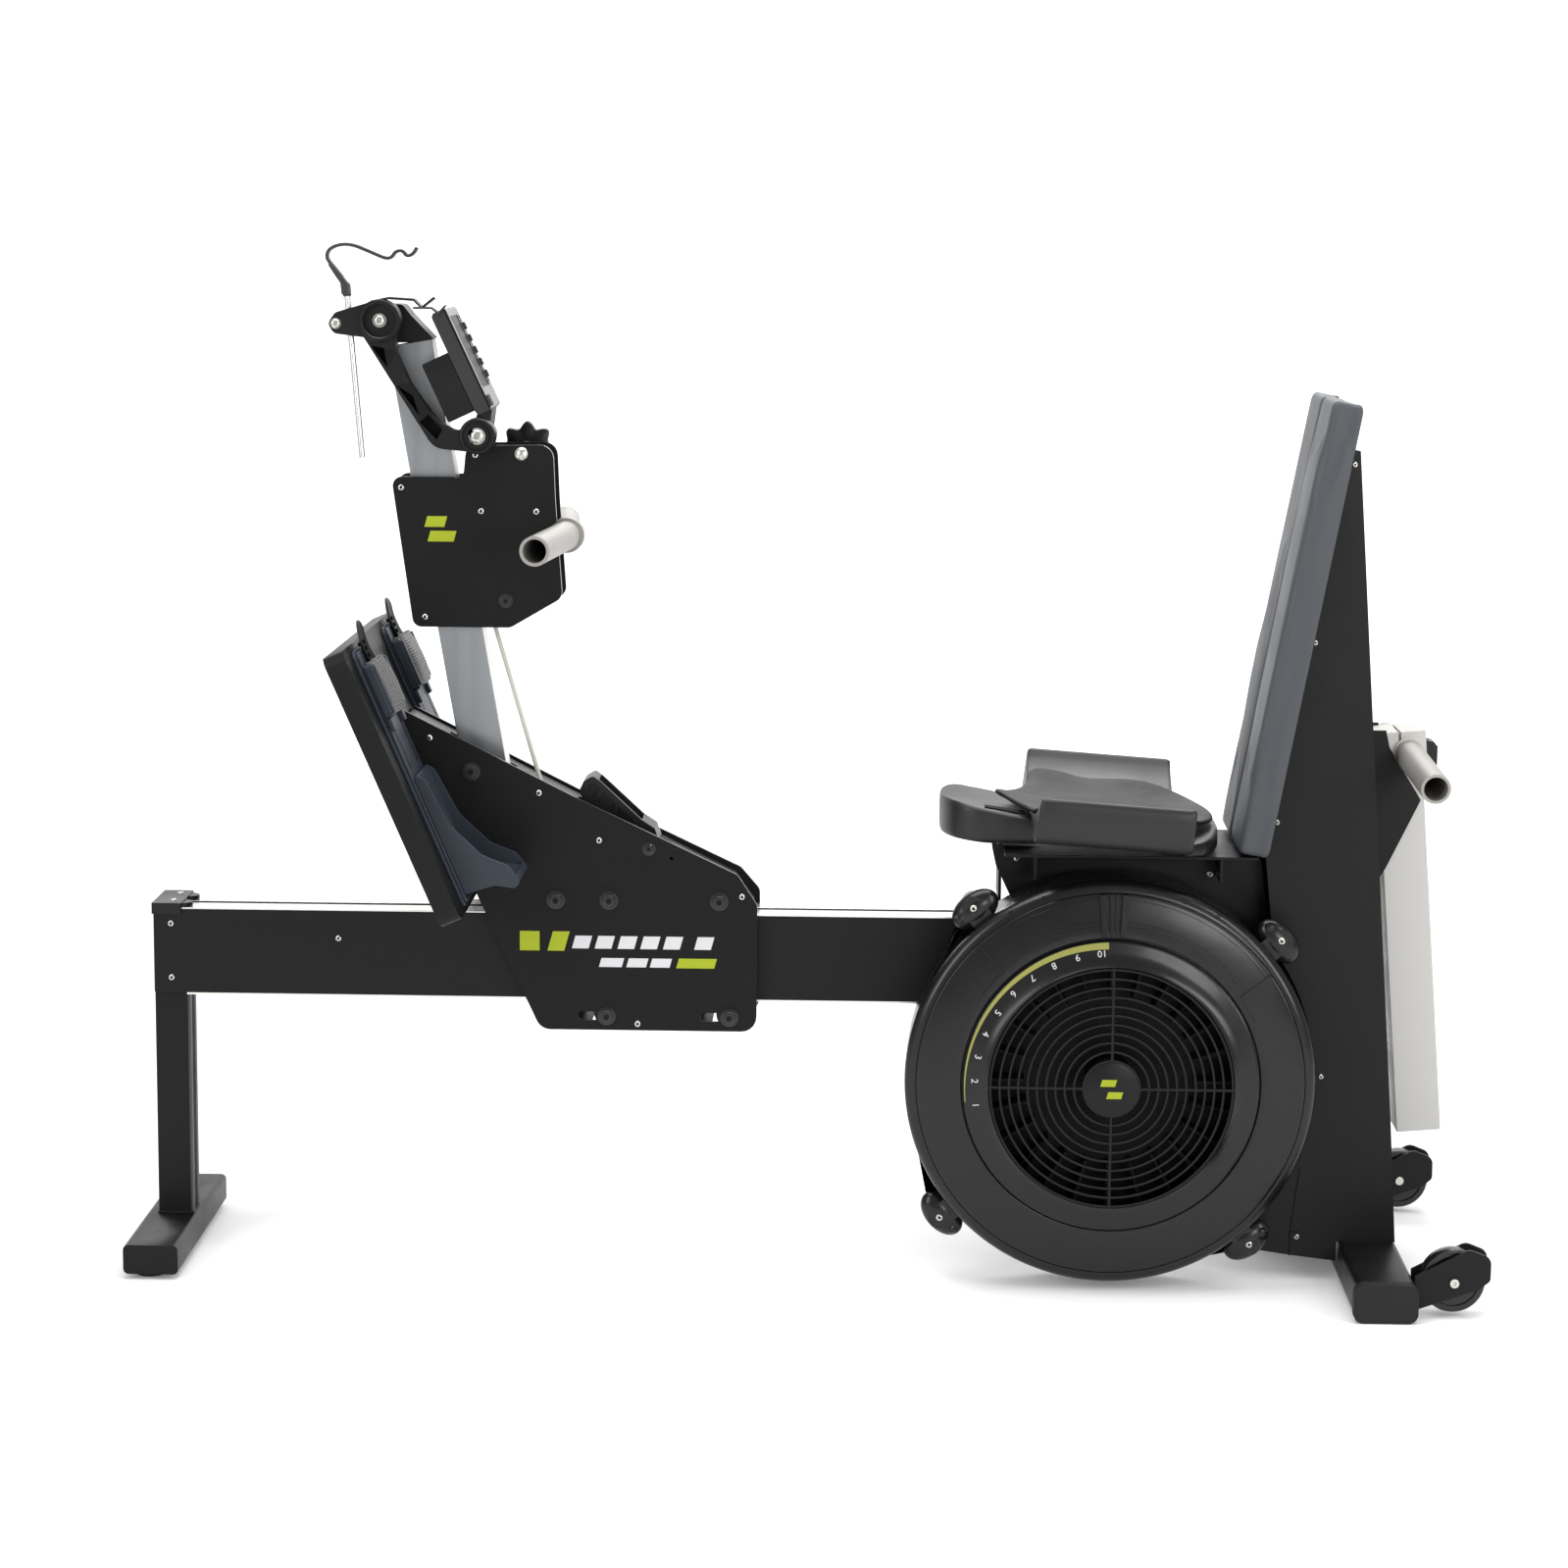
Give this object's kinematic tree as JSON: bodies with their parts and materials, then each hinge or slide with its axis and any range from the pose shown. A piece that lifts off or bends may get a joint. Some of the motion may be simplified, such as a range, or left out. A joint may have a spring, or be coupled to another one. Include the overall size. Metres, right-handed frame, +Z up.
{
  "type": "air resistance strength trainer",
  "caption": "Air-resistance strength trainer with footplate carriage on a monorail, reclined bench, pull handle and enclosed fan flywheel.",
  "frame": {"origin": "on the floor, at the bottom centre of the overall box", "axes": "+X towards the bench end, +Y away from the flywheel side, +Z up"},
  "size_m": [1.762, 0.6, 1.3405],
  "materials": {
    "black_paint": "satin",
    "black_rail": "satin",
    "track_steel": "brushed",
    "screw_steel": "polished",
    "black_bolt": "satin",
    "silver_extrusion": "brushed",
    "handle_grey": "satin",
    "black_plastic": "satin",
    "housing_plastic": "gloss",
    "fan_grey": "satin",
    "slate_plastic": "satin",
    "foot_rubber": "matte",
    "wheel_rubber": "gloss",
    "roller_grey": "satin",
    "belt_rubber": "matte",
    "seat_foam": "matte",
    "pad_rubber": "matte",
    "back_vinyl": "satin",
    "cord_white": "woven",
    "monitor_grey": "satin",
    "key_rubber": "matte",
    "rod_steel": "satin"
  },
  "bodies": {
    "frame": {"front_stand": "black_paint", "rubber_feet": "foot_rubber", "monorail": "black_rail", "rail_tracks": "track_steel", "front_end_cap": "black_plastic", "rear_post": "black_paint", "rear_foot_bar": "black_paint", "seat_frame": "black_paint", "seat_base": "seat_foam", "seat_pad": "pad_rubber", "back_board": "black_paint", "back_cushion_left": "back_vinyl", "back_cushion_right": "back_vinyl", "housing_rear_shell": "housing_plastic", "housing_front_shell": "housing_plastic", "grille": "housing_plastic", "flywheel_axle": "track_steel", "drive_belt": "belt_rubber", "flywheel_belt": "belt_rubber", "rear_mast": "silver_extrusion", "rear_handle_bracket": "handle_grey", "rear_handle": "handle_grey", "frame_bolts": "screw_steel"},
    "carriage": {"carriage_plate_left": "black_paint", "carriage_plate_right": "black_paint", "carriage_cover": "black_paint", "carriage_bolts": "black_bolt", "belt_clamp": "black_paint", "mast": "silver_extrusion", "mast_head": "black_plastic", "footboard": "black_paint", "foot_plate_left": "slate_plastic", "foot_plate_right": "slate_plastic"},
    "handle_box": {"box_plate_left": "black_paint", "box_plate_right": "black_paint", "pull_handle": "handle_grey", "box_bolts": "screw_steel", "lift_cord": "cord_white"},
    "monitor": {"monitor_case": "monitor_grey", "battery_pack": "black_plastic"},
    "transport_wheel_left": {"transport_wheel_left": "wheel_rubber"},
    "transport_wheel_right": {"transport_wheel_right": "wheel_rubber"},
    "flywheel": {"flywheel": "fan_grey"},
    "damper_ring": {"damper_ring": "housing_plastic"},
    "jackshaft": {"jackshaft": "silver_extrusion"},
    "front_idler": {"front_idler": "silver_extrusion"},
    "clutch_pulley": {"clutch_pulley": "silver_extrusion"},
    "cam_lever": {"cam_lever": "black_plastic"},
    "top_roller_front": {"top_roller_front": "roller_grey"},
    "top_roller_middle": {"top_roller_middle": "roller_grey"},
    "top_roller_rear": {"top_roller_rear": "roller_grey"},
    "low_roller_front": {"low_roller_front": "roller_grey"},
    "low_roller_rear": {"low_roller_rear": "roller_grey"},
    "heel_cup_left": {"heel_cup_left": "slate_plastic"},
    "heel_cup_right": {"heel_cup_right": "slate_plastic"},
    "release_lever": {"release_lever": "black_plastic"},
    "star_knob": {"star_knob": "black_plastic"},
    "monitor_arm": {"monitor_arm": "black_plastic"},
    "monitor_keypad": {"monitor_keypad": "key_rubber"},
    "device_holder": {"device_holder": "rod_steel"}
  },
  "joints": [
    {"name": "carriage_slide", "type": "slide", "parent": "frame", "child": "carriage", "axis": [1, 0, 0], "range_m": [-0.36, 0.19]},
    {"name": "handle_box_slide", "type": "slide", "parent": "carriage", "child": "handle_box", "axis": [-0.1702, 0, 0.9854], "range_m": [-0.09, 0]},
    {"name": "star_knob_turn", "type": "hinge", "parent": "handle_box", "child": "star_knob", "pos_m": [-0.371, 0.05, 1.071], "axis": [0, 1, 0], "range_deg": [-360, 360]},
    {"name": "monitor_arm_swing", "type": "hinge", "parent": "carriage", "child": "monitor_arm", "pos_m": [-0.551, -0.05, 1.242], "axis": [0, -1, 0], "range_deg": [0, 55]},
    {"name": "monitor_tilt", "type": "hinge", "parent": "monitor_arm", "child": "monitor", "pos_m": [-0.4255, -0.01, 1.095], "axis": [0, 1, 0], "range_deg": [0, 25]},
    {"name": "keypad_press", "type": "slide", "parent": "monitor", "child": "monitor_keypad", "axis": [-0.9063, 0, -0.4226], "range_m": [0, 0.001], "stiffness_N_per_m": 1500},
    {"name": "device_holder_slide", "type": "slide", "parent": "monitor_arm", "child": "device_holder", "axis": [-0.0837, 0, 0.9965], "range_m": [-0.01, 0.14]},
    {"name": "heel_cup_left_slide", "type": "slide", "parent": "carriage", "child": "heel_cup_left", "axis": [-0.3987, 0, 0.9171], "range_m": [-0.01, 0.055]},
    {"name": "heel_cup_right_slide", "type": "slide", "parent": "carriage", "child": "heel_cup_right", "axis": [-0.3987, 0, 0.9171], "range_m": [-0.01, 0.055]},
    {"name": "release_lever_lift", "type": "hinge", "parent": "carriage", "child": "release_lever", "pos_m": [-0.206, 0, 0.556], "axis": [0, 1, 0], "range_deg": [0, 35], "stiffness_Nm_per_rad": 1.5, "springref_deg": -14.32},
    {"name": "top_roller_front_spin", "type": "hinge", "parent": "carriage", "child": "top_roller_front", "pos_m": [-0.325, 0, 0.488], "axis": [0, 1, 0], "range_deg": [-1090, 600]},
    {"name": "top_roller_middle_spin", "type": "hinge", "parent": "carriage", "child": "top_roller_middle", "pos_m": [-0.255, 0, 0.488], "axis": [0, 1, 0], "range_deg": [-1090, 600]},
    {"name": "top_roller_rear_spin", "type": "hinge", "parent": "carriage", "child": "top_roller_rear", "pos_m": [-0.11, 0, 0.488], "axis": [0, 1, 0], "range_deg": [-1090, 600]},
    {"name": "low_roller_front_spin", "type": "hinge", "parent": "carriage", "child": "low_roller_front", "pos_m": [-0.258, 0, 0.3327], "axis": [0, 1, 0], "range_deg": [-650, 1200]},
    {"name": "low_roller_rear_spin", "type": "hinge", "parent": "carriage", "child": "low_roller_rear", "pos_m": [-0.096, 0, 0.3327], "axis": [0, 1, 0], "range_deg": [-650, 1200]},
    {"name": "jackshaft_spin", "type": "hinge", "parent": "frame", "child": "jackshaft", "pos_m": [0.47, 0, 0.41], "axis": [0, 1, 0], "range_deg": [-720, 400]},
    {"name": "front_idler_spin", "type": "hinge", "parent": "frame", "child": "front_idler", "pos_m": [-0.81, 0, 0.41], "axis": [0, 1, 0], "range_deg": [-720, 400]},
    {"name": "clutch_pulley_spin", "type": "hinge", "parent": "frame", "child": "clutch_pulley", "pos_m": [0.4, 0.028, 0.277], "axis": [0, 1, 0], "range_deg": [-1780, 980]},
    {"name": "flywheel_spin", "type": "hinge", "parent": "frame", "child": "flywheel", "pos_m": [0.4, -0.12, 0.277], "axis": [0, -1, 0], "continuous": true},
    {"name": "damper_turn", "type": "hinge", "parent": "frame", "child": "damper_ring", "pos_m": [0.4, -0.18, 0.277], "axis": [0, -1, 0], "range_deg": [0, 97]},
    {"name": "cam_lever_swing", "type": "hinge", "parent": "frame", "child": "cam_lever", "pos_m": [0.822, 0, 0.698], "axis": [0, -1, 0], "range_deg": [0, 80]},
    {"name": "transport_wheel_left_spin", "type": "hinge", "parent": "frame", "child": "transport_wheel_left", "pos_m": [0.835, -0.2525, 0.047], "axis": [0, 1, 0], "continuous": true},
    {"name": "transport_wheel_right_spin", "type": "hinge", "parent": "frame", "child": "transport_wheel_right", "pos_m": [0.835, 0.2525, 0.047], "axis": [0, 1, 0], "continuous": true}
  ],
  "couplings": [
    {"joint": "top_roller_front_spin", "follows": "carriage_slide", "rad_per_m": 50.761},
    {"joint": "top_roller_middle_spin", "follows": "carriage_slide", "rad_per_m": 50.761},
    {"joint": "top_roller_rear_spin", "follows": "carriage_slide", "rad_per_m": 50.761},
    {"joint": "low_roller_front_spin", "follows": "carriage_slide", "rad_per_m": -55.556},
    {"joint": "low_roller_rear_spin", "follows": "carriage_slide", "rad_per_m": -55.556},
    {"joint": "jackshaft_spin", "follows": "carriage_slide", "rad_per_m": 33.333},
    {"joint": "front_idler_spin", "follows": "carriage_slide", "rad_per_m": 33.333},
    {"joint": "clutch_pulley_spin", "follows": "carriage_slide", "rad_per_m": 81.481}
  ]
}
